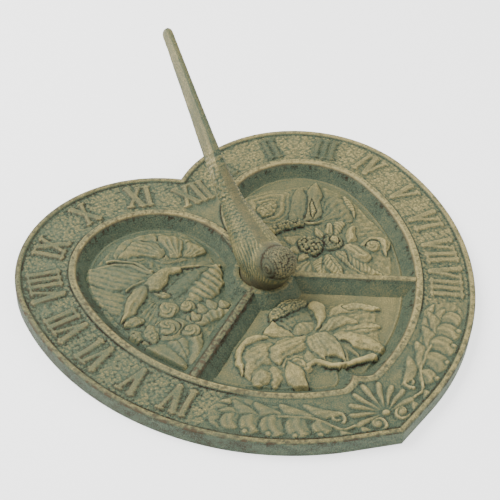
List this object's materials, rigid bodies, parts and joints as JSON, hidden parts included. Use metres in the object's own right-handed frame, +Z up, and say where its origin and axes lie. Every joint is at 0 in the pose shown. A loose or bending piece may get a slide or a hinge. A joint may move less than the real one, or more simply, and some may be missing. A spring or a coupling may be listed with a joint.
{
  "type": "garden sundial",
  "caption": "Heart-shaped cast dial plate with Roman hours and relief panels, and a screwed-on bird gnomon whose tail is the style blade.",
  "frame": {"origin": "middle of the whole object's footprint, in the plane that the plate rests on; the hub, where the hour lines meet, lies on +Y from it", "axes": "+Z up, +Y from the heart's tip towards its notch and the XII (north when set up), +X to the right-hand (afternoon, east) lobe"},
  "size_m": [0.2398, 0.2266, 0.099],
  "materials": {
    "verdigris_plate": "matt verdigris over tan highlights",
    "verdigris_gnomon": "matt tan with verdigris in the recesses",
    "zinc_steel": "zinc plated",
    "dark_steel": "spring steel, dull"
  },
  "bodies": {
    "root": {"dial_plate": "verdigris_plate", "gnomon": "verdigris_gnomon", "fixing_screw": "zinc_steel", "lock_washer": "dark_steel", "flat_washer": "dark_steel"}
  },
  "joints": []
}
